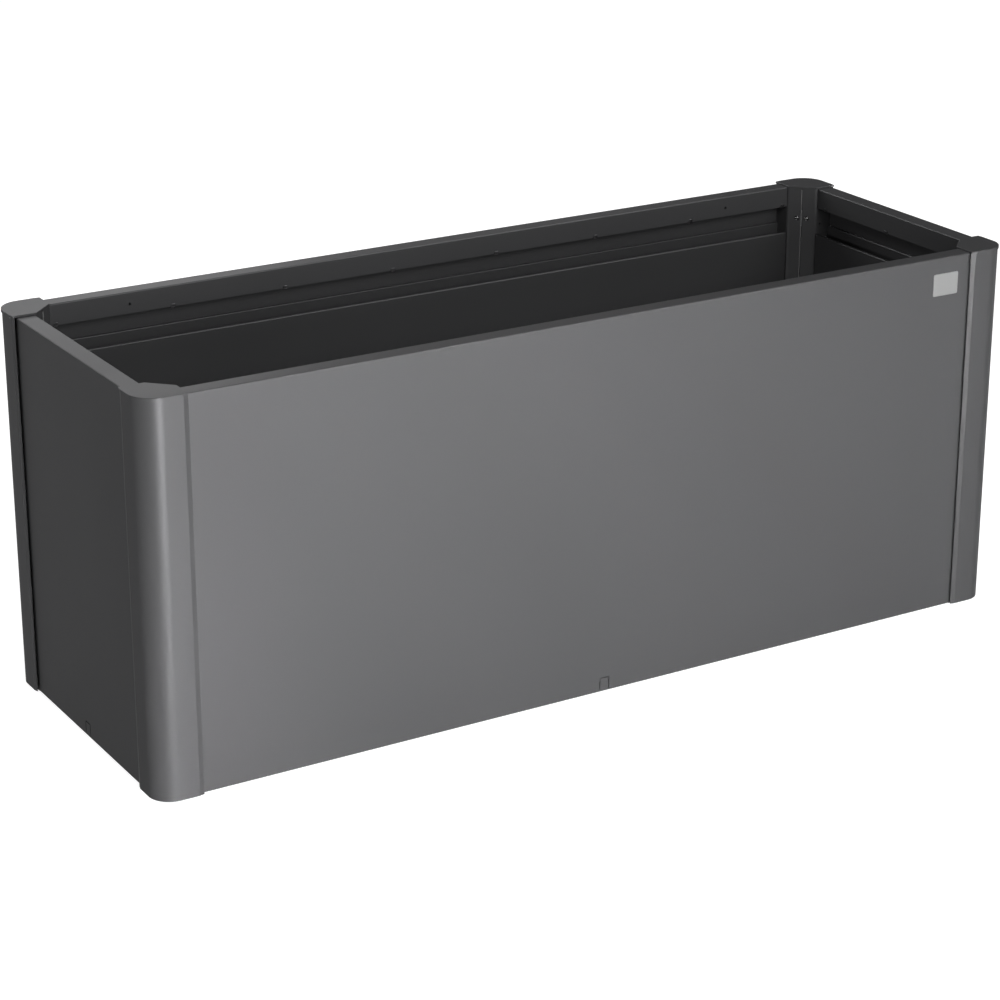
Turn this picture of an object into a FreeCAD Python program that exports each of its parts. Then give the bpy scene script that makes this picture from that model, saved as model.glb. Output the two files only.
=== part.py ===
import FreeCAD, Part
import math
import os
import re
from collections import namedtuple

import Sketcher

# A raised garden bed: four double-skinned sheet-steel walls between four corner posts.
# Millimetres, +Z up, origin on the ground below the middle of the bed, front towards -Y.

SIZES = [
    # Walls, measured over the outer faces of the panels
    ("wall_length", 1900.0),
    ("wall_depth", 654.0),
    ("wall_height", 764.0),
    ("wall_lift", 0.5),
    ("sheet", 0.8),
    ("fold_radius", 1.5),
    ("rim_width", 37.7),
    ("rim_drop", 43.0),
    ("hem_height", 8.0),
    ("hem_gap", 0.4),
    ("sill_lip", 15.0),
    ("rim_gap", 0.5),
    ("tab_gap", 1.0),
    ("tab_drop", 4.0),
    # How far each cut runs past the sheet that it goes through
    ("cut_margin", 1.0),
    # Knock-out for a hose, low in the middle of each wall
    ("knockout_width", 22.5),
    ("knockout_height", 25.0),
    ("knockout_slit", 2.0),
    ("knockout_rise", 5.0),
    ("knockout_corner", 3.0),
    # Holes for accessories in the inner flange of the long rims
    ("hole_radius", 2.75),
    ("hole_inset", 250.0),
    ("hole_drop", 24.0),
    # Lining and the rail that carries its top
    ("lining_offset", 40.5),
    ("lining_top", 101.0),
    ("lining_return", 6.3),
    ("lining_turn", 12.0),
    ("lining_gap", 2.4),
    ("rail_top", 86.0),
    ("rail_stand", 6.5),
    ("rail_web", 126.0),
    ("rail_leg", 24.0),
    # Corner posts: a rounded cover over two folded halves that meet in a seam
    ("post_proud", 6.7),
    ("post_reach", 84.8),
    ("post_face", 40.6),
    ("post_sheet", 0.75),
    ("post_corner", 45.0),
    ("post_bend", 11.25),
    ("crank_width", 12.3),
    ("crank_drop", 1.7),
    ("seam_gap", 1.2),
    ("groove_reach", 62.0),
    ("groove_clearance", 0.1),
    ("weld_flange", 20.0),
    # Small hole in the flank of each half that lies against a short wall
    ("flank_hole", 1.7),
    ("flank_inset", 29.0),
    ("flank_drop", 83.0),
    # Moulded caps and feet in the ends of the posts
    ("cap_plate", 3.5),
    ("cap_skirt", 6.0),
    ("cap_wall", 1.6),
    ("cap_gap", 0.2),
    ("cap_lap", 1.4),
    ("cap_edge", 0.8),
    ("plug_depth", 18.0),
    ("plug_inset", 2.2),
    ("plug_wall", 2.0),
    ("plug_gap", 0.3),
    ("foot_height", 22.0),
    ("foot_sole", 3.0),
    # Splice plates, screws and nuts behind the seam of each post
    ("splice_width", 46.0),
    ("splice_height", 36.0),
    ("splice_plate", 3.0),
    ("screw_drop", 71.0),
    ("screw_low", 76.0),
    ("screw_levels", 3),
    ("screw_spacing", 21.0),
    ("screw_radius", 2.9),
    ("screw_length", 12.0),
    ("screw_head", 5.2),
    ("screw_rise", 3.2),
    ("screw_dome", 2.2),
    ("screw_clearance", 0.3),
    ("nut_flats", 10.0),
    ("nut_height", 5.0),
    ("nut_clearance", 0.2),
    # Spring clips on the hem of the rim
    ("clip_sheet", 1.0),
    ("clip_width", 8.0),
    ("clip_height", 7.0),
    ("clip_gap", 0.05),
    ("clip_margin_long", 12.0),
    ("clip_count_long", 8),
    ("clip_margin_short", 31.2),
    ("clip_count_short", 3),
    # Bare plate on the front panel
    ("plate_width", 62.0),
    ("plate_height", 46.0),
    ("plate_sheet", 1.2),
    ("plate_corner", 2.5),
    ("plate_drop", 33.0),
    ("plate_inset", 28.5),
]

# Sizes that follow from the ones above
DERIVED = [
    ("post_height", "=wall_lift + wall_height"),
    ("lining_back", "=lining_offset - sheet"),
    ("cap_over", "=cap_gap + cap_wall"),
    ("seam_outer", "=(post_reach + post_face) / 2"),
    ("seam_inner", "=seam_outer - post_sheet / sqrt(2)"),
    ("screw_high", "=post_height + cap_plate - screw_drop"),
    ("screw_run", "=screw_high - screw_low"),
]

doc = FreeCAD.newDocument("RaisedBed")
sheet = doc.addObject("Spreadsheet::Sheet", "sizes")
for row, (alias, content) in enumerate(SIZES + DERIVED, start=1):
    sheet.set(f"A{row}", alias)
    sheet.set(f"B{row}", str(content))
    sheet.setAlias(f"B{row}", alias)
doc.recompute()

ALIASES = {alias for alias, content in SIZES + DERIVED}
UP = FreeCAD.Vector(0, 0, 1)
HALF_ROOT = math.sqrt(0.5)
MITRE = math.tan(math.radians(22.5))
FASTENER_SIDES = 12
NUT_SIDES = 6
SAME_WAY = 1e-4
SAME_PLACE = 1e-3
parts = []


def bound(text):
    """An expression on the sheet's cells, from the same words without the sheet's name."""
    return re.sub(r"[a-z_]+", lambda word: f"sizes.{word[0]}" if word[0] in ALIASES else word[0], str(text))


def value(text):
    """The number that such an expression has now."""
    return float(sheet.evalExpression(bound(text).replace("sizes.", "")))


def new_body(label, angle, base):
    """An empty body turned about the vertical, its place bound to the sheet."""
    body = doc.addObject("PartDesign::Body", label)
    body.Label = label
    body.Placement = FreeCAD.Placement(FreeCAD.Vector(), FreeCAD.Rotation(UP, angle))
    for axis, text in zip("xyz", base):
        body.setExpression(f"Placement.Base.{axis}", bound(text))
    parts.append(body)
    return body


def new_sketch(body, plane, offset=None):
    """A sketch on one of the body's own planes, moved off it by bound distances."""
    origin_plane = next(item for item in body.Origin.OriginFeatures if item.Role == plane)
    sketch = body.newObject("Sketcher::SketchObject", f"{body.Name}_sketch")
    sketch.AttachmentSupport = [(origin_plane, "")]
    sketch.MapMode = "FlatFace"
    for axis, text in (offset or {}).items():
        sketch.setExpression(f"AttachmentOffset.Base.{axis}", bound(text))
    return sketch


def hold_point(sketch, line, end, spot):
    """Tie one point of the sketch to two bound distances from its origin."""
    for kind, text in zip(("DistanceX", "DistanceY"), spot):
        rule = sketch.addConstraint(Sketcher.Constraint(kind, -1, 1, line, end, value(text)))
        sketch.setExpression(f"Constraints[{rule}]", bound(text))


def draw_outline(sketch, outline):
    """A closed outline of straight lines through bound points."""
    corners = [FreeCAD.Vector(value(across), value(along), 0) for across, along in outline]
    count = len(corners)
    first = sketch.GeometryCount
    for index, corner in enumerate(corners):
        sketch.addGeometry(Part.LineSegment(corner, corners[(index + 1) % count]), False)
    for index in range(count):
        following = first + (index + 1) % count
        sketch.addConstraint(Sketcher.Constraint("Coincident", first + index, 2, following, 1))
    for index, spot in enumerate(outline):
        hold_point(sketch, first + index, 1, spot)


def draw_circle(sketch, spot, radius):
    """A circle with a bound centre and radius."""
    centre = FreeCAD.Vector(value(spot[0]), value(spot[1]), 0)
    line = sketch.addGeometry(Part.Circle(centre, UP, value(radius)), False)
    hold_point(sketch, line, 3, spot)
    rule = sketch.addConstraint(Sketcher.Constraint("Radius", line, value(radius)))
    sketch.setExpression(f"Constraints[{rule}]", bound(radius))


def rectangle(left, right, low, high):
    """The four corners of a rectangle, anticlockwise."""
    return [(left, low), (right, low), (right, high), (left, high)]


def polygon(spot, reach, sides):
    """The corners of a regular polygon round a point, anticlockwise."""
    corners = []
    for index in range(sides):
        turn = 2 * math.pi * index / sides
        right = f"{spot[0]} + {math.cos(turn):.9f} * ({reach})"
        up = f"{spot[1]} + {math.sin(turn):.9f} * ({reach})"
        corners.append((right, up))
    return corners


def settle(feature):
    """Work the document out again and stop where the new feature has failed."""
    doc.recompute()
    if "Invalid" in feature.State or feature.Shape.isNull():
        raise RuntimeError(f"{feature.Name} failed")


def extrude(body, kind, sketch, length, side="One side", reverse=False):
    """A pad or pocket of the sketch; a pocket has to take material away."""
    before = body.Shape.Volume if kind == "Pocket" else 0.0
    feature = body.newObject(f"PartDesign::{kind}", f"{body.Name}_{kind.lower()}")
    feature.Profile = sketch
    feature.setExpression("Length", bound(length))
    feature.SideType = side
    feature.Reversed = reverse
    settle(feature)
    if kind == "Pocket" and feature.Shape.Volume >= before:
        raise RuntimeError(f"{feature.Name} cuts nothing")
    return feature


def edges_through(shape, direction, spots):
    """Names of the straight edges along a direction that pass through any of the given points."""
    names = []
    for number, edge in enumerate(shape.Edges, start=1):
        if edge.Curve.TypeId != "Part::GeomLine":
            continue
        run = edge.Vertexes[-1].Point - edge.Vertexes[0].Point
        if run.cross(direction).Length > SAME_WAY * run.Length:
            continue
        start = edge.Vertexes[0].Point
        if any((spot - start).cross(direction).Length < SAME_PLACE for spot in spots):
            names.append(f"Edge{number}")
    return names


def round_edges(body, base, names, radius):
    """A fillet on named edges of a feature."""
    feature = body.newObject("PartDesign::Fillet", f"{body.Name}_round")
    feature.Base = (base, names)
    feature.setExpression("Radius", bound(radius))
    settle(feature)
    return feature


def chamfer_edges(body, base, names, size):
    """A chamfer on named edges of a feature."""
    feature = body.newObject("PartDesign::Chamfer", f"{body.Name}_chamfer")
    feature.Base = (base, names)
    feature.setExpression("Size", bound(size))
    settle(feature)
    return feature


def edges_at_height(shape, height):
    """Names of the edges that lie in a level plane."""
    names = []
    for number, edge in enumerate(shape.Edges, start=1):
        if all(abs(end.Z - height) < SAME_PLACE for end in edge.Vertexes):
            names.append(f"Edge{number}")
    return names


def side_normal(start, end):
    """Unit vector to the right of the way from one point to the next."""
    way = end - start
    return FreeCAD.Vector(way.y, -way.x, 0).normalize()


def path_points(path):
    """The points of a path as they are now."""
    return [FreeCAD.Vector(value(across), value(along), 0) for across, along in path]


def mitres(path):
    """For each point of a folded path, the step to the other skin for a sheet of thickness 1."""
    points = path_points(path)
    normals = [side_normal(start, end) for start, end in zip(points, points[1:])]
    steps = [normals[0]]
    for before, after in zip(normals, normals[1:]):
        steps.append((before + after) * (1 / (1 + before.dot(after))))
    return steps + [normals[-1]]


def folded(path, thickness):
    """Outline of a sheet folded along a path, with its thickness to the right of the path."""
    back = []
    for (across, along), step in zip(path, mitres(path)):
        back.append((f"{across} + {step.x:.9f} * {thickness}", f"{along} + {step.y:.9f} * {thickness}"))
    return path + back[::-1]


def bend(body, base, path, bends, thickness, radius, to_body, direction):
    """Round the chosen folds of a sheet: the hollow side first, then the outer side round it."""
    points = path_points(path)
    hollow, outer = [], []
    for index in bends:
        step = mitres(path)[index] * value(thickness)
        before = points[index] - points[index - 1]
        after = points[index + 1] - points[index]
        turns_right = before.x * after.y - before.y * after.x < 0
        near, far = points[index], points[index] + step
        hollow.append(to_body(far if turns_right else near))
        outer.append(to_body(near if turns_right else far))
    inner = round_edges(body, base, edges_through(base.Shape, direction, hollow), radius)
    return round_edges(body, inner, edges_through(inner.Shape, direction, outer), f"{radius} + {thickness}")


# Each wall is drawn in its own frame: X along the wall, Y inwards from its outer face, Z up from
# its lower edge. The frame is then turned to the front, right, back or left of the bed.

Wall = namedtuple("Wall", "name angle side length across kind")
WALLS = [
    Wall("front", 0, (0, -1), "wall_length", "wall_depth", "long"),
    Wall("right", 90, (1, 0), "wall_depth", "wall_length", "short"),
    Wall("back", 180, (0, 1), "wall_length", "wall_depth", "long"),
    Wall("left", 270, (-1, 0), "wall_depth", "wall_length", "short"),
]
ALONG = FreeCAD.Vector(1, 0, 0)
INWARD = FreeCAD.Vector(0, 1, 0)


def wall_body(label, wall):
    """An empty body in the frame of a wall."""
    right, back = wall.side
    base = (f"{right} * {wall.across} / 2", f"{back} * {wall.across} / 2", "wall_lift")
    return new_body(label, wall.angle, base)


def wall_section(point):
    """A point of a wall's section in the wall's frame."""
    return FreeCAD.Vector(0, point.x, point.y)


def folded_along_wall(body, path, bends, length):
    """A folded sheet that runs along the wall."""
    sketch = new_sketch(body, "YZ_Plane")
    draw_outline(sketch, folded(path, "sheet"))
    strip = extrude(body, "Pad", sketch, length, "Symmetric")
    return bend(body, strip, path, bends, "sheet", "fold_radius", wall_section, ALONG)


def add_panel(wall):
    """Outer skin: sill with a lip, tall face, broad rim, inner flange and its hem."""
    body = wall_body(f"{wall.name}_panel", wall)
    flange_low = "wall_height - rim_drop"
    hem_face = "rim_width - 2 * sheet - hem_gap"
    path = [
        ("lining_back", "sill_lip"),
        ("lining_back", "0"),
        ("0", "0"),
        ("0", "wall_height"),
        ("rim_width", "wall_height"),
        ("rim_width", flange_low),
        (hem_face, flange_low),
        (hem_face, f"{flange_low} + hem_height"),
    ]
    clear = f"{wall.length} / 2 - post_reach - rim_gap"
    folded_along_wall(body, path, (2, 3, 4), f"2 * ({clear})")

    # The face runs on past the rim at both ends, into the grooves of the posts
    sketch = new_sketch(body, "XY_Plane")
    tab_end = f"{wall.length} / 2 - groove_reach - tab_gap"
    draw_outline(sketch, rectangle(clear, tab_end, "0", "sheet"))
    draw_outline(sketch, rectangle(f"-({tab_end})", f"-({clear})", "0", "sheet"))
    extrude(body, "Pad", sketch, "wall_height - tab_drop")

    # A slit round three sides leaves a flap that can be bent out for a hose
    sketch = new_sketch(body, "XZ_Plane")
    half, slit = "knockout_width / 2", "knockout_slit"
    low, high = "knockout_rise", "knockout_rise + knockout_height"
    draw_outline(sketch, [
        (f"-{half}", low),
        (f"-{half} + {slit}", low),
        (f"-{half} + {slit}", f"{high} - {slit}"),
        (f"{half} - {slit}", f"{high} - {slit}"),
        (f"{half} - {slit}", low),
        (half, low),
        (half, high),
        (f"-{half}", high),
    ])
    cut = extrude(body, "Pocket", sketch, "2 * (sheet + cut_margin)", "Symmetric")
    spots = [FreeCAD.Vector(side * value(half), 0, value(high)) for side in (-1, 1)]
    round_edges(body, cut, edges_through(cut.Shape, INWARD, spots), "knockout_corner")

    if wall.kind == "long":
        sketch = new_sketch(body, "XZ_Plane", {"z": "-rim_width"})
        for side in (-1, 1):
            spot = (f"{side} * ({wall.length} / 2 - hole_inset)", "wall_height - hole_drop")
            draw_circle(sketch, spot, "hole_radius")
        extrude(body, "Pocket", sketch, "2 * (sheet + cut_margin)", "Symmetric")


def add_lining(wall):
    """Inner skin: a flat sheet whose top is turned back towards the panel."""
    body = wall_body(f"{wall.name}_lining", wall)
    top = "wall_height - lining_top"
    back = "lining_offset - lining_return"
    path = [(back, f"{top} - lining_turn"), (back, top), ("lining_offset", top), ("lining_offset", "0")]
    folded_along_wall(body, path, (2,), f"{wall.length} - 2 * (post_reach + lining_gap)")


def add_rail(wall):
    """Stepped rail on the panel: its shelf stiffens the face, its leg carries the lining."""
    body = wall_body(f"{wall.name}_rail", wall)
    top, web = "wall_height - rail_top", "wall_height - rail_web"
    path = [
        ("sheet", top),
        ("rail_stand", top),
        ("rail_stand", web),
        ("lining_back", web),
        ("lining_back", f"{web} - rail_leg"),
    ]
    folded_along_wall(body, path, (1,), f"{wall.length} - 2 * (post_reach + rim_gap)")


def add_clips(wall):
    """Spring clips pushed up over the hem of the rim, for a planting fleece."""
    body = wall_body(f"{wall.name}_clips", wall)
    inner = "rim_width + clip_gap + clip_sheet"
    outer = "rim_width - 2 * sheet - hem_gap - clip_gap - clip_sheet"
    low = "wall_height - rim_drop - clip_gap - clip_sheet"
    path = [
        (inner, f"{low} + clip_height"),
        (inner, low),
        (outer, low),
        (outer, f"{low} + clip_height"),
    ]
    run = f"({wall.length} - 2 * (post_reach + clip_margin_{wall.kind}))"
    sketch = new_sketch(body, "YZ_Plane", {"z": f"-{run} / 2"})
    draw_outline(sketch, folded(path, "clip_sheet"))
    extrude(body, "Pad", sketch, "clip_width", "Symmetric")
    repeat(body, ("X_Axis", run, f"clip_count_{wall.kind}"))


def repeat(body, first, second=None):
    """A row of copies of the body's one piece, or a grid: axis, run of the row and count for each."""
    axes = {item.Role: item for item in body.Origin.OriginFeatures}
    pattern = body.newObject("PartDesign::LinearPattern", f"{body.Name}_row")
    pattern.TransformMode = "Whole shape"
    pattern.Direction = (axes[first[0]], [""])
    pattern.setExpression("Length", bound(first[1]))
    pattern.Occurrences = int(value(first[2]))
    if second:
        pattern.Direction2 = (axes[second[0]], [""])
        pattern.setExpression("Length2", bound(second[1]))
        pattern.Occurrences2 = int(value(second[2]))
    body.Tip = pattern
    settle(pattern)


for wall in WALLS:
    add_panel(wall)
    add_lining(wall)
    add_rail(wall)
    add_clips(wall)


# Each corner is drawn in its own frame: the outer faces of its two walls are X = 0 and Y = 0, and
# the bed lies towards +X and +Y. Names give the wall that each half of the post lies against.

Corner = namedtuple("Corner", "name angle side first_half second_half")
CORNERS = [
    Corner("front_left", 0, (-1, -1), "front", "side"),
    Corner("front_right", 90, (1, -1), "side", "front"),
    Corner("back_right", 180, (1, 1), "back", "side"),
    Corner("back_left", 270, (-1, 1), "side", "back"),
]
SEAM_AXES = FreeCAD.Rotation(
    FreeCAD.Vector(-HALF_ROOT, HALF_ROOT, 0), UP, FreeCAD.Vector(HALF_ROOT, HALF_ROOT, 0), "XYZ")
UP_THE_SEAM = ("Y_Axis", "screw_run", "screw_levels")
ACROSS_THE_SEAM = ("X_Axis", "screw_spacing", "2")


def corner_base(corner, inset="0", height="0"):
    """A point on the corner's diagonal, as bound distances in the bed's frame."""
    right, back = corner.side
    return (f"{right} * (wall_length / 2 - ({inset}))", f"{back} * (wall_depth / 2 - ({inset}))", height)


def corner_body(label, corner):
    """An empty body in the frame of a corner."""
    return new_body(label, corner.angle, corner_base(corner))


def plan(point):
    """A point of a post's plan in the corner's frame."""
    return point


def swapped(path):
    """The same path seen from the other wall of the corner, with its sheet still on the right."""
    return [(along, across) for across, along in path[::-1]]


def add_cover(corner):
    """Outer face of the post: two flats, a broad round corner and edges cranked to the panels."""
    body = corner_body(f"{corner.name}_post_cover", corner)
    half = [
        ("post_reach", "crank_drop - post_proud"),
        ("post_reach - crank_width", "-post_proud"),
    ]
    path = half + [("-post_proud", "-post_proud")] + swapped(half)
    sketch = new_sketch(body, "XY_Plane")
    draw_outline(sketch, folded(path, "post_sheet"))
    cover = extrude(body, "Pad", sketch, "post_height")
    bend(body, cover, path, (2,), "post_sheet", "(post_corner - post_sheet)", plan, UP)


def add_half(corner, name, turned):
    """Inner half of the post: seam face, side wall, groove for the panel and a welding flange."""
    body = corner_body(f"{corner.name}_post_{name}_half", corner)
    from_seam = f"seam_gap / 2 * {HALF_ROOT:.9f}"
    groove = "sheet + groove_clearance"
    weld = "post_sheet - post_proud"
    path = [
        (f"seam_outer + {from_seam}", f"seam_outer - {from_seam}"),
        ("post_reach", "post_face"),
        ("post_reach", groove),
        ("groove_reach", groove),
        ("groove_reach", weld),
        ("groove_reach - weld_flange", weld),
    ]
    fold_index = 1
    if turned:
        path = swapped(path)
        fold_index = len(path) - 2
    sketch = new_sketch(body, "XY_Plane")
    draw_outline(sketch, folded(path, "post_sheet"))
    half = extrude(body, "Pad", sketch, "post_height")
    bend(body, half, path, (fold_index,), "post_sheet", "post_bend", plan, UP)

    # Screw holes down the seam face
    sketch = new_sketch(body, "XY_Plane")
    sketch.AttachmentOffset = FreeCAD.Placement(FreeCAD.Vector(), SEAM_AXES)
    for axis, text in zip("xyz", ("seam_outer", "seam_outer", "screw_low")):
        sketch.setExpression(f"AttachmentOffset.Base.{axis}", bound(text))
    side = 1 if turned else -1
    for level in range(int(value("screw_levels"))):
        spot = (f"{side} * screw_spacing / 2", f"{level} * screw_run / (screw_levels - 1)")
        draw_outline(sketch, polygon(spot, "screw_radius + screw_clearance", FASTENER_SIDES))
    extrude(body, "Pocket", sketch, "2 * (post_sheet + cut_margin)", "Symmetric")

    if name == "side":
        plane, offset = ("XZ_Plane", "-post_reach") if turned else ("YZ_Plane", "post_reach")
        sketch = new_sketch(body, plane, {"z": offset})
        spot = ("flank_inset", "post_height + cap_plate - flank_drop")
        draw_outline(sketch, polygon(spot, "flank_hole", FASTENER_SIDES))
        extrude(body, "Pocket", sketch, "2 * (post_sheet + cut_margin)", "Symmetric")


def plug_outline(inset):
    """Outline that fits inside the post, drawn in by a distance all round."""
    low = f"plug_inset + {inset}"
    side = f"post_reach - post_sheet - plug_gap - {inset}"
    face = f"post_face - {MITRE:.9f} * (post_sheet + plug_gap + {inset})"
    slant = f"post_corner - post_proud + {MITRE:.9f} * {inset}"
    return [(slant, low), (side, low), (side, face), (face, side), (low, side), (low, slant)]


def add_plug(body, height, depth, floor, upward):
    """Hollow plug inside the end of the post, closed on one side."""
    sketch = new_sketch(body, "XY_Plane", {"z": height})
    draw_outline(sketch, plug_outline("0"))
    plug = extrude(body, "Pad", sketch, depth, reverse=not upward)
    corners = [FreeCAD.Vector(value(across), value(along), 0) for across, along in plug_outline("0")[2:4]]
    round_edges(body, plug, edges_through(plug.Shape, UP, corners), "post_bend - plug_gap")
    end = f"{height} + {depth}" if upward else f"{height} - {depth}"
    sketch = new_sketch(body, "XY_Plane", {"z": end})
    draw_outline(sketch, plug_outline("plug_wall"))
    extrude(body, "Pocket", sketch, f"{depth} - {floor}", reverse=not upward)


def add_cap(corner):
    """Moulded cap: a flat plate with a skirt over the post's faces and a plug inside it."""
    body = corner_body(f"{corner.name}_cap", corner)
    top = "post_height + cap_plate"
    edge = "-(post_proud + cap_over)"
    half = [
        ("post_reach", "post_face + cap_lap"),
        ("post_reach", "crank_drop - post_proud - cap_over"),
        ("post_reach - crank_width", edge),
    ]
    outline = half + [(edge, edge)] + swapped(half)
    sketch = new_sketch(body, "XY_Plane", {"z": f"{top} - cap_skirt"})
    draw_outline(sketch, outline)
    extrude(body, "Pad", sketch, "cap_skirt")

    # Below the plate only the skirt is left, round the outside of the post
    sketch = new_sketch(body, "XY_Plane", {"z": f"{top} - cap_skirt"})
    hug, past = "-(post_proud + cap_gap)", "post_reach + crank_width"
    outside = f"{edge} - crank_width"
    half = [
        (past, outside),
        ("post_reach - crank_width", outside),
        ("post_reach - crank_width", hug),
    ]
    draw_outline(sketch, [(past, past)] + half + [(hug, hug)] + swapped(half))
    cap = extrude(body, "Pocket", sketch, "cap_skirt - cap_plate", reverse=True)
    for reach, radius in ((hug, "post_corner + cap_gap"), (edge, "post_corner + cap_over")):
        spot = FreeCAD.Vector(value(reach), value(reach), 0)
        cap = round_edges(body, cap, edges_through(cap.Shape, UP, [spot]), radius)
    chamfer_edges(body, cap, edges_at_height(cap.Shape, value(top)), "cap_edge")
    add_plug(body, "post_height", "plug_depth", "0", upward=False)


def add_foot(corner):
    """Moulded foot: a plug with a closed sole, flush with the lower end of the post."""
    body = corner_body(f"{corner.name}_foot", corner)
    add_plug(body, "0", "foot_height", "foot_sole", upward=True)


def seam_body(label, corner, inset):
    """A body on the seam at its lowest screws: X across the seam, Y up it, Z out into the bed."""
    body = new_body(label, corner.angle, corner_base(corner, inset, "screw_low"))
    turn = FreeCAD.Rotation(UP, corner.angle).multiply(SEAM_AXES)
    body.Placement = FreeCAD.Placement(body.Placement.Base, turn)
    return body


def add_splices(corner):
    """Plates behind the seam that the two halves are screwed to."""
    body = seam_body(f"{corner.name}_splice_plates", corner, "seam_inner")
    sketch = new_sketch(body, "XY_Plane")
    half, tall = "splice_width / 2", "splice_height / 2"
    draw_outline(sketch, rectangle(f"-{half}", half, f"-{tall}", tall))
    for side in (-1, 1):
        spot = (f"{side} * screw_spacing / 2", "0")
        draw_outline(sketch, polygon(spot, "screw_radius + screw_clearance", FASTENER_SIDES))
    extrude(body, "Pad", sketch, "splice_plate", reverse=True)
    repeat(body, UP_THE_SEAM)


def add_screws(corner):
    """Dome-headed screws, a pair at each plate: a plain shank and a head with sloping shoulders."""
    body = seam_body(f"{corner.name}_screws", corner, "seam_outer")
    start = ("-screw_spacing / 2", "0")
    sketch = new_sketch(body, "XY_Plane")
    draw_outline(sketch, polygon(start, "screw_head", FASTENER_SIDES))
    head = extrude(body, "Pad", sketch, "screw_rise")
    chamfer_edges(body, head, edges_at_height(head.Shape, value("screw_rise")), "screw_dome")
    sketch = new_sketch(body, "XY_Plane")
    draw_outline(sketch, polygon(start, "screw_radius", FASTENER_SIDES))
    extrude(body, "Pad", sketch, "screw_length", reverse=True)
    repeat(body, ACROSS_THE_SEAM, UP_THE_SEAM)


def add_nuts(corner):
    """Hexagon nuts behind the splice plates."""
    body = seam_body(f"{corner.name}_nuts", corner, f"seam_inner - splice_plate * {HALF_ROOT:.9f}")
    start = ("-screw_spacing / 2", "0")
    sketch = new_sketch(body, "XY_Plane")
    draw_outline(sketch, polygon(start, "nut_flats / sqrt(3)", NUT_SIDES))
    draw_outline(sketch, polygon(start, "screw_radius + nut_clearance", FASTENER_SIDES))
    extrude(body, "Pad", sketch, "nut_height", reverse=True)
    repeat(body, ACROSS_THE_SEAM, UP_THE_SEAM)


for corner in CORNERS:
    add_cover(corner)
    add_half(corner, corner.first_half, turned=False)
    add_half(corner, corner.second_half, turned=True)
    add_cap(corner)
    add_foot(corner)
    add_splices(corner)
    add_screws(corner)
    add_nuts(corner)


def add_front_plate():
    """Thin bare plate stuck on the front panel below the rim."""
    body = wall_body("front_plate", WALLS[0])
    right = "wall_length / 2 - post_reach - plate_inset"
    high = "wall_height - plate_drop"
    sketch = new_sketch(body, "XZ_Plane")
    outline = rectangle(f"{right} - plate_width", right, f"{high} - plate_height", high)
    draw_outline(sketch, outline)
    plate = extrude(body, "Pad", sketch, "plate_sheet")
    corners = [FreeCAD.Vector(value(across), 0, value(along)) for across, along in outline]
    round_edges(body, plate, edges_through(plate.Shape, INWARD, corners), "plate_corner")


add_front_plate()
doc.recompute()

for item in doc.Objects:
    if "Invalid" in item.State or "Error" in item.State:
        raise RuntimeError(f"{item.Label} failed: {item.State}")
for body in parts:
    if body.Shape.isNull() or not body.Shape.isValid():
        raise RuntimeError(f"{body.Label} has no valid shape")

os.makedirs("parts", exist_ok=True)
for body in parts:
    body.Shape.exportStep(f"parts/{body.Label}.step")
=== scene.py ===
import math

import bmesh
import bpy
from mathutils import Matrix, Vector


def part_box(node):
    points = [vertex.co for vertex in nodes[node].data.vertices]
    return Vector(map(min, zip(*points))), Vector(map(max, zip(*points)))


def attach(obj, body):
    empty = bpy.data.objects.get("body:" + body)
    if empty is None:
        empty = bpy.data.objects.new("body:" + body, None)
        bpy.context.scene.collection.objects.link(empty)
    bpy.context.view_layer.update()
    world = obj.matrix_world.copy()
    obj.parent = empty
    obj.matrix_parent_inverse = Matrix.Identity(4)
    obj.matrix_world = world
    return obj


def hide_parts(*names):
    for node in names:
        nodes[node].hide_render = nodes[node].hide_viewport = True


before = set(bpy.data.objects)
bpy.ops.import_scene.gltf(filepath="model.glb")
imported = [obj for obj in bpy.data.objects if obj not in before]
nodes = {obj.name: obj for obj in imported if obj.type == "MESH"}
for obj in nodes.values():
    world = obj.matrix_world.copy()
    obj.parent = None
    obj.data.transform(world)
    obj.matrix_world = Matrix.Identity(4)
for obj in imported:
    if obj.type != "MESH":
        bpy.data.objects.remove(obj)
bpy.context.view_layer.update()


# WALL PANELS, LININGS AND RAILS
# Each wall is a double skin of folded steel sheet: an outer panel with a broad rim, a flat lining
# inside it, and a stepped rail between the two. All of it has one satin dark grey powder coating,
# with fine metal flakes that shine straight on and go dark at a slant.
COATING_GREY = (0.075, 0.075, 0.077, 1.0)
COATING_DARK = (0.070, 0.070, 0.072, 1.0)
COATING_ROUGHNESS = (0.40, 0.44)
COATING_METAL = 0.55
COATING_SHEEN = 0.055
COATING_SLANT = (0.35, 0.35, 0.35, 1.0)
FLAKE_SCALE = 1400
PEEL_SCALE = 650
PEEL_DEPTH = 0.00004
CLOUD_SCALE = 3.2
CLOUD_DETAIL = 4.0
NOISE_DETAIL = 2.0
NOISE_RANGE = (0.3, 0.7)
EVEN = (1.0, 1.0, 1.0)


def new_material(name):
    """A new node material, its shader and its node tree."""
    material = bpy.data.materials.new(name)
    material.use_nodes = True
    tree = material.node_tree
    return material, tree.nodes["Principled BSDF"], tree


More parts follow.
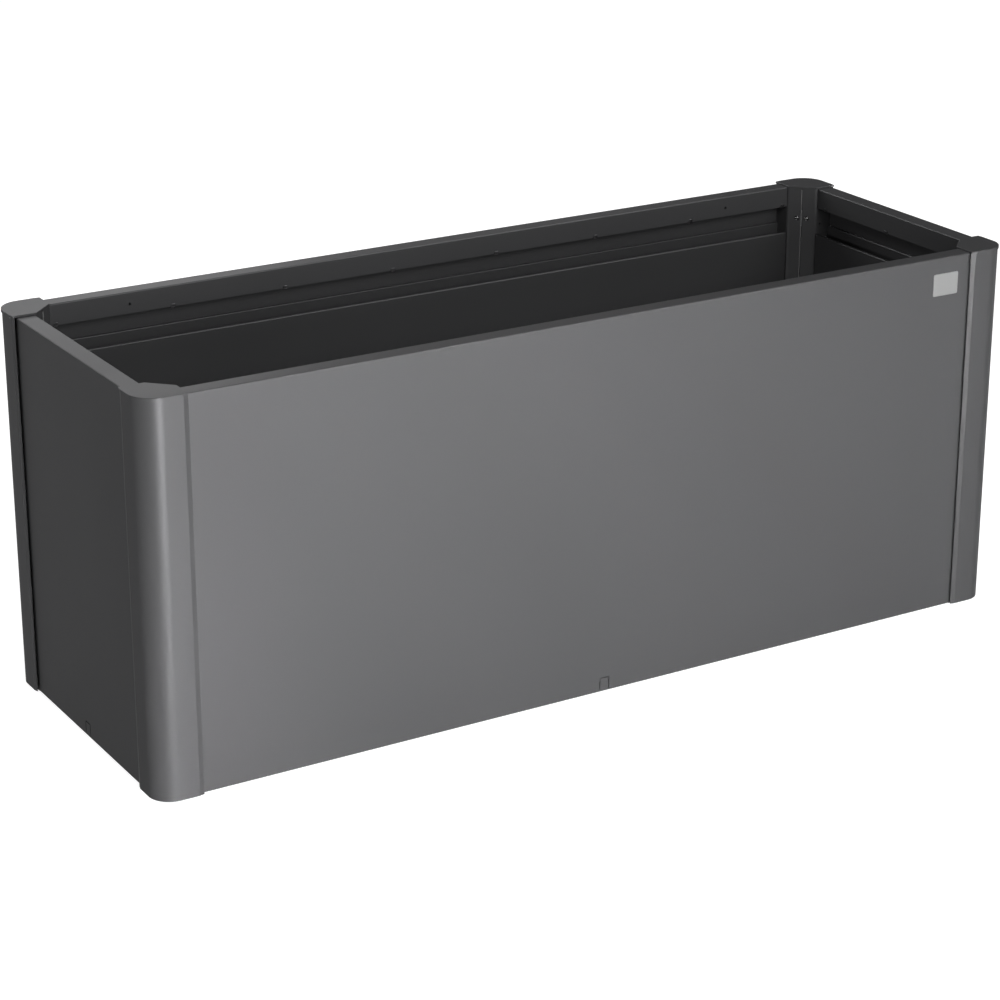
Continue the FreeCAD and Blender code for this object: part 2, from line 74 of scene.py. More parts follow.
def add_noise(tree, scale, detail=NOISE_DETAIL, stretch=EVEN):
    """Noise on the piece's own coordinates, drawn out along an axis if wanted, as a factor."""
    place = tree.nodes.new("ShaderNodeTexCoord")
    mapping = tree.nodes.new("ShaderNodeMapping")
    mapping.inputs["Scale"].default_value = stretch
    noise = tree.nodes.new("ShaderNodeTexNoise")
    noise.inputs["Scale"].default_value = scale
    noise.inputs["Detail"].default_value = detail
    tree.links.new(place.outputs["Object"], mapping.inputs["Vector"])
    tree.links.new(mapping.outputs["Vector"], noise.inputs["Vector"])
    return noise.outputs["Fac"]


def change_range(tree, factor, before, after):
    """A factor moved from one range of values to another."""
    change = tree.nodes.new("ShaderNodeMapRange")
    change.inputs["From Min"].default_value = before[0]
    change.inputs["From Max"].default_value = before[1]
    change.inputs["To Min"].default_value = after[0]
    change.inputs["To Max"].default_value = after[1]
    tree.links.new(factor, change.inputs["Value"])
    return change.outputs["Result"]


def vary_colour(tree, shader, factor, first, second):
    """Let the colour of a surface vary between two colours."""
    mix = tree.nodes.new("ShaderNodeMix")
    mix.data_type = "RGBA"
    mix.inputs["A"].default_value = first
    mix.inputs["B"].default_value = second
    tree.links.new(factor, mix.inputs["Factor"])
    tree.links.new(mix.outputs["Result"], shader.inputs["Base Color"])


def vary_roughness(tree, shader, factor, limits):
    """Let the roughness of a surface vary between two values."""
    tree.links.new(change_range(tree, factor, NOISE_RANGE, limits), shader.inputs["Roughness"])


def add_bump(tree, shader, height, depth):
    """Give the surface a fine relief of a true depth in metres."""
    bump = tree.nodes.new("ShaderNodeBump")
    bump.inputs["Strength"].default_value = 1.0
    bump.inputs["Distance"].default_value = depth
    tree.links.new(height, bump.inputs["Height"])
    tree.links.new(bump.outputs["Normal"], shader.inputs["Normal"])


def make_metallic_grey(name, relief, depth):
    """Satin grey with fine flakes in the colour, soft clouds in the gloss and a faint relief."""
    material, shader, tree = new_material(name)
    shader.inputs["Metallic"].default_value = COATING_METAL
    shader.inputs["Specular IOR Level"].default_value = COATING_SHEEN
    shader.inputs["Specular Tint"].default_value = COATING_SLANT
    vary_colour(tree, shader, add_noise(tree, FLAKE_SCALE), COATING_DARK, COATING_GREY)
    vary_roughness(tree, shader, add_noise(tree, CLOUD_SCALE, CLOUD_DETAIL), COATING_ROUGHNESS)
    add_bump(tree, shader, add_noise(tree, relief), depth)
    return material


def finish_nodes(names, material):
    """Give CAD nodes their finished surface."""
    for name in names:
        nodes[name].data.materials.clear()
        nodes[name].data.materials.append(material)


WALL_HALF_LENGTH = 0.950
WALL_HALF_DEPTH = 0.327
# Each wall's turn in degrees, the middle of its outer face and half its length
WALLS = {
    "front": (0, (0.0, -WALL_HALF_DEPTH), WALL_HALF_LENGTH),
    "right": (90, (WALL_HALF_LENGTH, 0.0), WALL_HALF_DEPTH),
    "back": (180, (0.0, WALL_HALF_DEPTH), WALL_HALF_LENGTH),
    "left": (270, (-WALL_HALF_LENGTH, 0.0), WALL_HALF_DEPTH),
}
coating = make_metallic_grey("satin_grey_coating", PEEL_SCALE, PEEL_DEPTH)
finish_nodes([f"{wall}_{piece}" for wall in WALLS for piece in ("panel", "lining", "rail")], coating)


# SPRING CLIPS
# Short U-shaped clips of bent spring steel, pushed up over the hem of the rim at an even pitch.
# They hold the edge of a planting fleece. Each is a strip bent round the hem, with both ends
# rolled outwards so that it slides on.
CLIP_WIDTH = 0.008
CLIP_SHEET = 0.0010
CLIP_BEND = 0.00155
CLIP_BEND_STEPS = 8
CLIP_MIDDLE = 0.0367
WALL_BASE = 0.0005
CLIP_BEND_HEIGHT = WALL_BASE + 0.7211
CLIP_LEG = 0.0048
CLIP_LIP_RISE = 0.0010
CLIP_LIP_FLARE = 0.0006
CLIP_EDGE = 0.0002
CLIP_EDGE_ANGLE = 30
POST_REACH = 0.0848
# How many clips a wall has, and how far the end ones stay from the posts
CLIP_ROWS = {"front": (8, 0.0120), "back": (8, 0.0120), "right": (3, 0.0312), "left": (3, 0.0312)}
CLIP_DARK = (0.10, 0.10, 0.103, 1.0)
CLIP_GREY = (0.15, 0.15, 0.154, 1.0)
CLIP_STREAKS = 500
CLIP_STREAK_DETAIL = 3.0
CLIP_SCRATCHES = 900
CLIP_ROUGHNESS = (0.30, 0.42)
BARE_METAL = 1.0
EDGE_SEGMENTS = 2
MERGE_REACH = 0.000005
SMOOTH_ANGLE = 40


def choose(piece):
    """Make a piece the only one that is selected, and the active one."""
    bpy.ops.object.select_all(action="DESELECT")
    piece.select_set(True)
    bpy.context.view_layer.objects.active = piece


def set_down(piece):
    """Put a piece's place and turn into its mesh."""
    choose(piece)
    bpy.ops.object.transform_apply(location=True, rotation=True, scale=True)


def upright_sheet(width, height, middle):
    """A flat rectangle that stands upright and faces the front, to be drawn out into a piece."""
    bpy.ops.object.select_all(action="DESELECT")
    bpy.ops.mesh.primitive_plane_add(size=1.0, location=middle, rotation=(math.radians(90), 0.0, 0.0))
    sheet = bpy.context.object
    sheet.scale = (width, height, 1.0)
    set_down(sheet)
    return sheet


def start_edit():
    """Open the active piece for work on its points."""
    bpy.ops.object.mode_set(mode="EDIT")
    bpy.ops.mesh.select_mode(type="VERT")


def select_points(piece, wanted):
    """In edit mode, select the points that pass a test, with the edges and faces between them."""
    mesh = bmesh.from_edit_mesh(piece.data)
    for face in mesh.faces:
        face.select_set(False)
    for point in mesh.verts:
        point.select_set(False)
    for point in mesh.verts:
        if wanted(point.co):
            point.select_set(True)
    mesh.select_flush(True)
    bmesh.update_edit_mesh(piece.data)


def extrude_by(across, along, up):
    """Pull what is selected out into new faces."""
    bpy.ops.mesh.extrude_region_move(TRANSFORM_OT_translate={"value": (across, along, up)})


def close_normals():
    """In edit mode, merge doubles and turn every face outwards."""
    bpy.ops.mesh.select_all(action="SELECT")
    bpy.ops.mesh.remove_doubles(threshold=MERGE_REACH)
    bpy.ops.mesh.normals_make_consistent(inside=False)


def end_edit():
    """Close the surface of the piece that is being edited, and go back to whole pieces."""
    close_normals()
    bpy.ops.object.mode_set(mode="OBJECT")


def add_thickness(piece, sheet):
    """Give a surface the thickness of its sheet, half of it to each side."""
    skin = piece.modifiers.new("sheet", "SOLIDIFY")
    skin.thickness = sheet
    skin.offset = 0.0


def add_bevel(piece, width, angle):
    """Round off the edges that turn by more than an angle in degrees."""
    edge = piece.modifiers.new("rounded", "BEVEL")
    edge.width = width
    edge.segments = EDGE_SEGMENTS
    edge.limit_method = "ANGLE"
    edge.angle_limit = math.radians(angle)


def finish_model(piece, angle=SMOOTH_ANGLE):
    """Make a model's modifiers part of its mesh, and shade it smooth up to an angle in degrees."""
    choose(piece)
    for modifier in list(piece.modifiers):
        bpy.ops.object.modifier_apply(modifier=modifier.name)
    bpy.ops.object.shade_smooth_by_angle(angle=math.radians(angle))


def join_copies(name, model, places):
    """Copies of a model, each set at a place with a turn, joined into one piece."""
    copies = []
    for place, turn in places:
        piece = model.copy()
        piece.data = model.data.copy()
        bpy.context.scene.collection.objects.link(piece)
        piece.location = place
        piece.rotation_euler = turn
        copies.append(piece)
    choose(copies[0])
    for piece in copies:
        piece.select_set(True)
    if len(copies) > 1:
        bpy.ops.object.join()
    group = bpy.context.view_layer.objects.active
    group.name = name
    group.data.name = name
    set_down(group)
    return group


def add_piece(piece, material, slot, *replaced):
    """Finish a new piece, let it stand for the CAD nodes that it replaces, and fix it to the bed."""
    piece.data.materials.clear()
    piece.data.materials.append(material)
    if replaced:
        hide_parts(*replaced)
    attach(piece, "root")


def model_clip():
    """One clip in the frame of a wall: the strip runs down inside, round the hem and up behind it."""
    half = CLIP_BEND_HEIGHT + CLIP_LEG / 2
    clip = upright_sheet(CLIP_WIDTH, CLIP_LEG, (0.0, CLIP_MIDDLE + CLIP_BEND, half))
    start_edit()
    select_points(clip, lambda spot: spot.z > half)
    extrude_by(0.0, CLIP_LIP_FLARE, CLIP_LIP_RISE)
    select_points(clip, lambda spot: spot.z < half)
    bend = (0.0, CLIP_MIDDLE, CLIP_BEND_HEIGHT)
    bpy.ops.mesh.spin(steps=CLIP_BEND_STEPS, angle=math.pi, center=bend, axis=(1.0, 0.0, 0.0))
    extrude_by(0.0, 0.0, CLIP_LEG)
    extrude_by(0.0, -CLIP_LIP_FLARE, CLIP_LIP_RISE)
    end_edit()
    add_thickness(clip, CLIP_SHEET)
    add_bevel(clip, CLIP_EDGE, CLIP_EDGE_ANGLE)
    finish_model(clip)
    return clip


def make_spring_steel():
    """Oiled spring steel: dark metal, streaked and finely scratched."""
    material, shader, tree = new_material("oiled_spring_steel")
    shader.inputs["Metallic"].default_value = BARE_METAL
    vary_colour(tree, shader, add_noise(tree, CLIP_STREAKS, CLIP_STREAK_DETAIL), CLIP_DARK, CLIP_GREY)
    vary_roughness(tree, shader, add_noise(tree, CLIP_SCRATCHES), CLIP_ROUGHNESS)
    return material


spring_steel = make_spring_steel()
clip_model = model_clip()
for wall, (angle, middle, half_length) in WALLS.items():
    count, margin = CLIP_ROWS[wall]
    end = half_length - POST_REACH - margin
    turn = math.radians(angle)
    row = []
    for number in range(count):
        along = -end + 2 * end * number / (count - 1)
        spot = (middle[0] + along * math.cos(turn), middle[1] + along * math.sin(turn), 0.0)
        row.append((spot, (0.0, 0.0, turn)))
    clips = join_copies(f"{wall}_bent_clips", clip_model, row)
    add_piece(clips, spring_steel, "spring_steel", f"{wall}_clips")
bpy.data.objects.remove(clip_model)


# The bead's light grey is a painted highlight along the seam; its round face also catches the lamps.
# CORNER POSTS
# Each post is a rounded cover welded to two folded halves, which meet in a seam on the inner face.
# The cover's edges are cranked in towards the panels, and a bead of sealant runs down the seam.
# The posts have the same coating as the walls.

# Each corner's side of the bed along its length and its depth, in order round the bed
CORNERS = {
    "front_left": (-1, -1),
    "front_right": (1, -1),
    "back_right": (1, 1),
    "back_left": (-1, 1),
}
for corner in CORNERS:
    long_wall = corner.split("_")[0]
    post_pieces = ("cover", f"{long_wall}_half", "side_half")
    finish_nodes([f"{corner}_post_{piece}" for piece in post_pieces], coating)

COVER_PROUD = 0.0067
COVER_SHEET = 0.00075
COVER_ROUND = 0.0450
COVER_ROUND_STEPS = 24
COVER_EDGE = 0.00015
COVER_EDGE_ANGLE = 50
COVER_SMOOTH_ANGLE = 10
CRANK_WIDTH = 0.0100
CRANK_DROP = 0.0027


def model_cover():
    """One cover with its two walls along the axes: crank, flat, round corner, flat and crank."""
    low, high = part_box("front_left_post_cover")
    face = COVER_SHEET / 2 - COVER_PROUD
    begin = COVER_ROUND - COVER_PROUD
    flat = POST_REACH - CRANK_WIDTH - begin
    half = begin + flat / 2
    cover = upright_sheet(flat, high[2] - low[2], (half, face, (low[2] + high[2]) / 2))
    start_edit()
    select_points(cover, lambda spot: spot.x > half)
    extrude_by(CRANK_WIDTH, CRANK_DROP, 0.0)
    select_points(cover, lambda spot: spot.x < half)
    bend = (begin, begin, 0.0)
    bpy.ops.mesh.spin(steps=COVER_ROUND_STEPS, angle=math.pi / 2, center=bend, axis=(0.0, 0.0, 1.0))
    extrude_by(0.0, flat, 0.0)
    extrude_by(CRANK_DROP, CRANK_WIDTH, 0.0)
    end_edit()
    add_thickness(cover, COVER_SHEET)
    add_bevel(cover, COVER_EDGE, COVER_EDGE_ANGLE)
    finish_model(cover, COVER_SMOOTH_ANGLE)
    return cover


cover_model = model_cover()
for number, (corner, (right, back)) in enumerate(CORNERS.items()):
    place = (right * WALL_HALF_LENGTH, back * WALL_HALF_DEPTH, 0.0)
    turn = (0.0, 0.0, math.radians(90 * number))
    cover = join_copies(f"{corner}_cranked_cover", cover_model, [(place, turn)])
    add_piece(cover, coating, "coated_steel", f"{corner}_post_cover")
bpy.data.objects.remove(cover_model)

POST_FACE = 0.0406
SEAM_INSET = (POST_REACH + POST_FACE) / 2
BEAD_SIDES = 16
BEAD_RADIUS = 0.0009
BEAD_OFFSET = 0.0012
BEAD_LOW = 0.0010
BEAD_HIGH = 0.7610
BEAD_EDGE = 0.0002
BEAD_EDGE_ANGLE = 60
# The sealant's greys, lighter than the coating, are a painted highlight along each seam.
HIGHLIGHT_SEALANT_GREY = (0.16, 0.16, 0.16, 1.0)
HIGHLIGHT_SEALANT_DARK = (0.13, 0.13, 0.13, 1.0)
SEALANT_SHEEN = 0.2
SEALANT_SMEARS = 120
SEALANT_SMEAR_DETAIL = 3.0
SEALANT_PORES = 300
SEALANT_ROUGHNESS = (0.50, 0.65)


def seam_place(side):
    """Where the seam of a post is, the turn that faces it into the bed, and the way across it."""
    right, back = side
    turn = math.atan2(-right, back)
    spot = (right * (WALL_HALF_LENGTH - SEAM_INSET), back * (WALL_HALF_DEPTH - SEAM_INSET))
    return spot, turn, (math.cos(turn), math.sin(turn))


def upright_rod(sides, radius, low, high):
    """A rod round the vertical axis between two levels, to be worked into a piece."""
    bpy.ops.object.select_all(action="DESELECT")
    middle = (0.0, 0.0, (high + low) / 2)
    bpy.ops.mesh.primitive_cylinder_add(vertices=sides, radius=radius, depth=high - low, location=middle)
    rod = bpy.context.object
    set_down(rod)
    return rod


def model_bead():
    """One bead: a round rod cut down its length, flat on the post, its ends eased."""
    bead = upright_rod(BEAD_SIDES, BEAD_RADIUS, BEAD_LOW, BEAD_HIGH)
    start_edit()
    bpy.ops.mesh.select_all(action="SELECT")
    bpy.ops.mesh.bisect(
        plane_co=(0.0, 0.0, 0.0), plane_no=(0.0, 1.0, 0.0), clear_outer=True, use_fill=True,
    )
    end_edit()
    add_bevel(bead, BEAD_EDGE, BEAD_EDGE_ANGLE)
    finish_model(bead)
    return bead


def make_highlight_sealant():
    """Sealant in a light grey that paints a highlight along the seam, dull and a little uneven."""
    material, shader, tree = new_material("highlight_grey_sealant")
    shader.inputs["Specular IOR Level"].default_value = SEALANT_SHEEN
    smears = add_noise(tree, SEALANT_SMEARS, SEALANT_SMEAR_DETAIL)
    vary_colour(tree, shader, smears, HIGHLIGHT_SEALANT_DARK, HIGHLIGHT_SEALANT_GREY)
    vary_roughness(tree, shader, add_noise(tree, SEALANT_PORES), SEALANT_ROUGHNESS)
    return material


bead_model = model_bead()
row = []
for side in CORNERS.values():
    spot, turn, across = seam_place(side)
    place = (spot[0] - BEAD_OFFSET * across[0], spot[1] - BEAD_OFFSET * across[1], 0.0)
    row.append((place, (0.0, 0.0, turn)))
# Beads of light grey sealant in each seam: their colour is a painted highlight, and their round face
# catches the lamps.
add_piece(join_copies("seam_highlight_beads", bead_model, row), make_highlight_sealant(), None)
bpy.data.objects.remove(bead_model)


# SPLICE PLATES AND NUTS
# Plates of galvanised steel behind the seam of each post, with a hexagon nut for each screw. They
# are closed in by the post.
ZINC_LIGHT = (0.55, 0.56, 0.57, 1.0)
ZINC_DARK = (0.42, 0.43, 0.45, 1.0)
ZINC_ROUGHNESS = (0.30, 0.48)
CRYSTAL_SCALE = 260


def make_zinc():
    """Galvanised steel with its pattern of crystals."""
    material, shader, tree = new_material("zinc_coating")
    shader.inputs["Metallic"].default_value = BARE_METAL
    place = tree.nodes.new("ShaderNodeTexCoord")
    crystals = tree.nodes.new("ShaderNodeTexVoronoi")
    crystals.inputs["Scale"].default_value = CRYSTAL_SCALE
    tree.links.new(place.outputs["Object"], crystals.inputs["Vector"])
    shade = tree.nodes.new("ShaderNodeSeparateColor")
    tree.links.new(crystals.outputs["Color"], shade.inputs["Color"])
    vary_colour(tree, shader, shade.outputs["Red"], ZINC_DARK, ZINC_LIGHT)
    vary_roughness(tree, shader, shade.outputs["Green"], ZINC_ROUGHNESS)
    return material


hidden_pieces = [f"{corner}_{piece}" for corner in CORNERS for piece in ("splice_plates", "nuts")]
finish_nodes(hidden_pieces, make_zinc())


# SCREWS
# Button-headed stainless screws with a hexagon socket, a pair at each splice plate, one on either
# side of the seam. The head lies on the post's inner face and the shank goes through plate and nut.
SCREW_SIDES = 32
SCREW_HEAD = 0.0052
SCREW_RIM = 0.0007
# The dome's rings from the rim up, each with its radius and height
SCREW_DOME = ((0.0049, 0.0014), (0.0043, 0.0022), (0.0037, 0.0028), (0.0029, 0.0032))
SCREW_SHANK = 0.0029
SCREW_LENGTH = 0.012
SCREW_TIP = 0.0006
SCREW_EDGE = 0.00015
SCREW_EDGE_ANGLE = 35
SOCKET_SIDES = 6
SOCKET_REACH = 0.0023
SOCKET_DEPTH = 0.0020
SCREW_PITCH = 0.021
SCREW_LEVELS = (0.697, 0.3865, 0.076)
STAINLESS = (0.20, 0.20, 0.20, 1.0)
STAINLESS_DARK = (0.16, 0.16, 0.16, 1.0)
STAINLESS_MARKS = 1500
STAINLESS_SCRATCHES = 2200
STAINLESS_ROUGHNESS = (0.16, 0.26)


def taper(radius, height, before):
    """Pull the selected ring or face up and draw it in to a new radius."""
    reach, level = before
    extrude_by(0.0, 0.0, height - level)
    size = radius / reach
    bpy.ops.transform.resize(value=(size, size, 1.0), center_override=(0.0, 0.0, height))


def model_screw():
    """One screw along the vertical, its head on top of the level where it bears on the post."""
    screw = upright_rod(SCREW_SIDES, SCREW_HEAD, 0.0, SCREW_RIM)
    start_edit()
    select_points(screw, lambda spot: spot.z > SCREW_RIM / 2)
    before = (SCREW_HEAD, SCREW_RIM)
    for radius, height in SCREW_DOME:
        taper(radius, height, before)
        before = (radius, height)
    select_points(screw, lambda spot: spot.z < SCREW_RIM / 2)
    bpy.ops.mesh.inset(thickness=SCREW_HEAD - SCREW_SHANK, depth=0.0)
    extrude_by(0.0, 0.0, SCREW_TIP - SCREW_LENGTH)
    taper(SCREW_SHANK - SCREW_TIP, -SCREW_LENGTH, (SCREW_SHANK, SCREW_TIP - SCREW_LENGTH))
    end_edit()

    top = SCREW_DOME[-1][1]
    socket = upright_rod(SOCKET_SIDES, SOCKET_REACH, top - SOCKET_DEPTH, top + SOCKET_DEPTH)
    cut = screw.modifiers.new("socket", "BOOLEAN")
    cut.operation = "DIFFERENCE"
    cut.solver = "EXACT"
    cut.object = socket
    add_bevel(screw, SCREW_EDGE, SCREW_EDGE_ANGLE)
    finish_model(screw)
    bpy.data.objects.remove(socket)
    return screw


def make_stainless():
    """Turned stainless steel, bright with fine marks."""
    material, shader, tree = new_material("turned_stainless")
    shader.inputs["Metallic"].default_value = BARE_METAL
    vary_colour(tree, shader, add_noise(tree, STAINLESS_MARKS), STAINLESS_DARK, STAINLESS)
    vary_roughness(tree, shader, add_noise(tree, STAINLESS_SCRATCHES), STAINLESS_ROUGHNESS)
    return material


stainless = make_stainless()
screw_model = model_screw()
for corner, side in CORNERS.items():
    spot, turn, across = seam_place(side)
    row = []
    for level in SCREW_LEVELS:
        for offset in (-SCREW_PITCH / 2, SCREW_PITCH / 2):
            place = (spot[0] + offset * across[0], spot[1] + offset * across[1], level)
            row.append((place, (math.radians(90), 0.0, turn)))
    screws = join_copies(f"{corner}_button_screws", screw_model, row)
    add_piece(screws, stainless, "stainless_steel", f"{corner}_screws")
bpy.data.objects.remove(screw_model)


# CAPS AND FEET
# Moulded plugs in both ends of each post: caps in the same metallic grey as the coating, with a fine
# grain, and black feet.
GRAIN_SCALE = 1100
GRAIN_DEPTH = 0.00005
FOOT_BLACK = (0.022, 0.022, 0.022, 1.0)
FOOT_DARK = (0.018, 0.018, 0.018, 1.0)
FOOT_CLOUDS = 9.0
FOOT_CLOUD_DETAIL = 3.0
FOOT_ROUGHNESS = (0.50, 0.56)


def make_black_moulding():
    """Black plastic with the fine grain of its tool."""
    material, shader, tree = new_material("black_moulding")
    vary_colour(tree, shader, add_noise(tree, GRAIN_SCALE), FOOT_DARK, FOOT_BLACK)
    vary_roughness(tree, shader, add_noise(tree, FOOT_CLOUDS, FOOT_CLOUD_DETAIL), FOOT_ROUGHNESS)
    add_bump(tree, shader, add_noise(tree, GRAIN_SCALE), GRAIN_DEPTH)
    return material


cap_grey = make_metallic_grey("metallic_grey_moulding", GRAIN_SCALE, GRAIN_DEPTH)
finish_nodes([f"{corner}_cap" for corner in CORNERS], cap_grey)
finish_nodes([f"{corner}_foot" for corner in CORNERS], make_black_moulding())


# FRONT PLATE
# A small bare plate of brushed aluminium, stuck on the front panel below its rim. Its face lies a
# little below a narrow border, and its corners are rounded.
PLATE_SHEET = 0.0012
PLATE_CORNER = 0.0032
PLATE_CORNER_STEPS = 5
PLATE_EDGE = 0.0003
PLATE_EDGE_STEPS = 3
PLATE_BORDER = 0.0018
PLATE_RECESS = 0.00025
PLATE_SLOPE = 0.0005
PLATE_LEVEL_REACH = 0.000003
PLATE_SMOOTH_ANGLE = 25
ALUMINIUM = (0.215, 0.215, 0.215, 1.0)
ALUMINIUM_DARK = (0.19, 0.19, 0.192, 1.0)
ALUMINIUM_METAL = 0.3
ALUMINIUM_ROUGHNESS = (0.38, 0.48)
BRUSH_SCALE = 900
BRUSH_DETAIL = 3.0
BRUSH_STRETCH = (0.04, 1.0, 1.0)


def model_plate():
    """The plate in its place: a sheet with round corners, drawn out to its thickness and edged."""
    low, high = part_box("front_plate")
    back = high[1]
    front = back - PLATE_SHEET
    middle = ((low[0] + high[0]) / 2, back, (low[2] + high[2]) / 2)
    plate = upright_sheet(high[0] - low[0], high[2] - low[2], middle)
    plate.name = "bare_front_plate"
    plate.data.name = "bare_front_plate"
    start_edit()
    bpy.ops.mesh.select_all(action="SELECT")
    bpy.ops.mesh.bevel(offset=PLATE_CORNER, segments=PLATE_CORNER_STEPS, affect="VERTICES")
    bpy.ops.mesh.select_all(action="SELECT")
    extrude_by(0.0, -PLATE_SHEET, 0.0)
    close_normals()
    select_points(plate, lambda spot: spot.y < front + PLATE_SHEET / 2)
    bpy.ops.mesh.bevel(offset=PLATE_EDGE, segments=PLATE_EDGE_STEPS, affect="EDGES")
    select_points(plate, lambda spot: spot.y < front + PLATE_LEVEL_REACH)
    bpy.ops.mesh.inset(thickness=PLATE_BORDER, depth=0.0)
    bpy.ops.mesh.inset(thickness=PLATE_SLOPE, depth=-PLATE_RECESS)
    bpy.ops.object.mode_set(mode="OBJECT")
    finish_model(plate, PLATE_SMOOTH_ANGLE)
    return plate


def make_aluminium():
    """Aluminium brushed along its length, satin anodised."""
    material, shader, tree = new_material("brushed_aluminium")
    brushed = add_noise(tree, BRUSH_SCALE, BRUSH_DETAIL, BRUSH_STRETCH)
    shader.inputs["Metallic"].default_value = ALUMINIUM_METAL
    vary_colour(tree, shader, brushed, ALUMINIUM_DARK, ALUMINIUM)
    vary_roughness(tree, shader, brushed, ALUMINIUM_ROUGHNESS)
    return material


add_piece(model_plate(), make_aluminium(), "plate_aluminium", "front_plate")


# FLOOR
# A plain white studio floor under the bed. It glows a little more far away, so that it stays white
# up to the edge of the picture, and it keeps the bed's soft shadow.
WHITE = (1.0, 1.0, 1.0, 1.0)
FLOOR_SIZE = 120.0
FLOOR_GREY = (0.35, 0.35, 0.35, 1.0)
FLOOR_ROUGHNESS = 0.9
# How far from the bed the glow starts to change and stops changing, and its strength at both
GLOW_REACH = (3.0, 10.0)
FLOOR_GLOW = (0.88, 1.0)
GLOSSY_SHARE = 0.85


def add_math(tree, operation, first, second):
    """A sum on a factor and another factor or a number."""
    node = tree.nodes.new("ShaderNodeMath")
    node.operation = operation
    tree.links.new(first, node.inputs[0])
    if isinstance(second, float):
        node.inputs[1].default_value = second
    else:
        tree.links.new(second, node.inputs[1])
    return node.outputs[0]


def make_floor():
    """Paper white to the eye and nearly so in reflections, with the bed's soft shadow on it."""
    material, shader, tree = new_material("white_floor")
    shader.inputs["Base Color"].default_value = FLOOR_GREY
    shader.inputs["Roughness"].default_value = FLOOR_ROUGHNESS
    shader.inputs["Emission Color"].default_value = WHITE
    rays = tree.nodes.new("ShaderNodeLightPath").outputs
    mirrored = add_math(tree, "MULTIPLY", rays["Is Glossy Ray"], GLOSSY_SHARE)
    seen = add_math(tree, "MAXIMUM", rays["Is Camera Ray"], mirrored)
    shown = add_math(tree, "MAXIMUM", seen, rays["Is Transmission Ray"])
    place = tree.nodes.new("ShaderNodeTexCoord")
    reach = tree.nodes.new("ShaderNodeVectorMath")
    reach.operation = "LENGTH"
    tree.links.new(place.outputs["Object"], reach.inputs[0])
    level = change_range(tree, reach.outputs["Value"], GLOW_REACH, FLOOR_GLOW)
    tree.links.new(add_math(tree, "MULTIPLY", shown, level), shader.inputs["Emission Strength"])
    return material


bpy.ops.object.select_all(action="DESELECT")
bpy.ops.mesh.primitive_plane_add(size=FLOOR_SIZE)
floor = bpy.context.object
floor.name = "studio_floor"
floor.data.materials.append(make_floor())


# LIGHT
# Soft boxes round the bed: low and high in front for the broad faces, high behind and overhead for
# the rims, and narrow ones for the front and its posts and for the inside of the right wall.
WORLD_LIGHT = 0.01
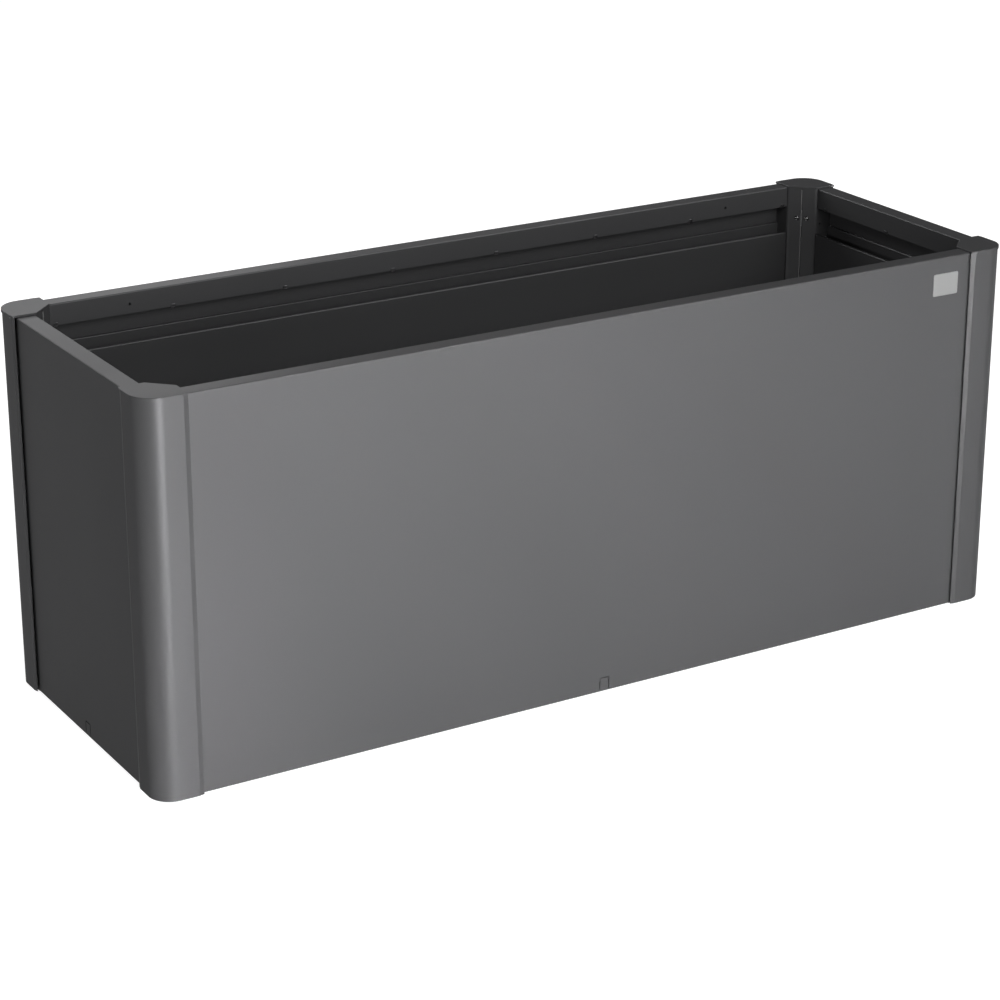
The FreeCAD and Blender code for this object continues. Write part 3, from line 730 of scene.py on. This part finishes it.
# Each box's place, the point that it faces, its width and height, and its power in watts
SOFT_BOXES = {
    "front_low_box": ((-0.974, -6.932, 0.39), (-0.974, 0.0, 0.42), (1.0, 0.74), 21.5),
    "strip_box": ((2.2, -6.9, 0.3), (0.95, -0.33, 0.4), (0.8, 0.5), 9.6),
    "post_snoot": ((-0.974, -6.932, 0.15), (-1.40, -0.33, -0.05), (0.5, 0.2), 4.5),
    "front_left_box": ((-0.974, -6.932, 1.5), (0.0, 0.0, 1.5), (1.0, 1.4), 130.0),
    "front_right_box": ((1.455, -6.847, 1.5), (0.0, 0.0, 1.5), (1.0, 1.4), 25.0),
    "front_high_box": ((0.0, -6.0, 3.7), (0.0, 0.0, 0.5), (2.4, 2.2), 165.0),
    "right_high_box": ((3.0, -5.196, 3.7), (0.0, 0.0, 0.5), (2.4, 2.2), 85.0),
    "left_high_box": ((-3.0, -5.196, 3.7), (0.0, 0.0, 0.5), (2.4, 2.2), 14.0),
    "back_right_box": ((3.5, 6.062, 2.9), (0.0, 0.0, 2.9), (1.8, 2.6), 17.6),
    "back_box": ((1.812, 6.761, 2.9), (0.0, 0.0, 2.9), (1.8, 2.6), 102.0),
    "back_left_box": ((-1.812, 6.761, 2.9), (0.0, 0.0, 2.9), (1.8, 2.6), 215.0),
    "over_right_box": ((2.1, -0.3, 4.4), (0.0, 0.0, 0.6), (2.6, 1.4), 90.0),
    "left_snoot": ((-1.6, -0.2, 1.1), (0.91, 0.1, 0.65), (0.3, 0.2), 0.25),
    "rear_left_box": ((-2.3, 5.2, 3.9), (0.0, 0.0, 0.6), (2.4, 1.6), 100.0),
}
# The boxes with a grid that narrows their beam, and its spread in degrees
BEAM_SPREADS = {"front_low_box": 32, "strip_box": 32, "post_snoot": 13.5, "left_snoot": 30}


def add_soft_box(name, place, target, size, power):
    """A rectangular lamp that faces a point and that the camera doesn't see."""
    lamp = bpy.data.lights.new(name, "AREA")
    lamp.shape = "RECTANGLE"
    lamp.size, lamp.size_y = size
    lamp.energy = power
    if name in BEAM_SPREADS:
        lamp.spread = math.radians(BEAM_SPREADS[name])
    box = bpy.data.objects.new(name, lamp)
    bpy.context.scene.collection.objects.link(box)
    box.location = place
    across, along, up = (end - start for start, end in zip(place, target))
    box.rotation_euler = (math.atan2(math.hypot(across, along), -up), 0.0, math.atan2(-across, along))
    box.visible_camera = False


world = bpy.data.worlds.new("studio_air")
world.use_nodes = True
background = world.node_tree.nodes["Background"]
background.inputs["Color"].default_value = WHITE
background.inputs["Strength"].default_value = WORLD_LIGHT
bpy.context.scene.world = world
for name, settings in SOFT_BOXES.items():
    add_soft_box(name, *settings)


# CAMERA
# A long lens at the photo's angle, above the bed and to the left of its front. The lens isn't
# shifted, so upright edges lean a little more than in the photo.
CAMERA_PLACE = (-2.7728, -4.5549, 2.3093)
CAMERA_TILT = 69.303
CAMERA_TURN = -30.943
CAMERA_LENS = 101.69
SENSOR_WIDTH = 36.0
CAMERA_REACH = 200.0
camera_data = bpy.data.cameras.new("camera")
camera_data.sensor_width = SENSOR_WIDTH
camera_data.lens = CAMERA_LENS
camera_data.clip_end = CAMERA_REACH
camera = bpy.data.objects.new("camera", camera_data)
bpy.context.scene.collection.objects.link(camera)
camera.location = CAMERA_PLACE
camera.rotation_euler = (math.radians(CAMERA_TILT), 0.0, math.radians(CAMERA_TURN))
bpy.context.scene.camera = camera
bpy.context.scene.view_settings.view_transform = "Standard"
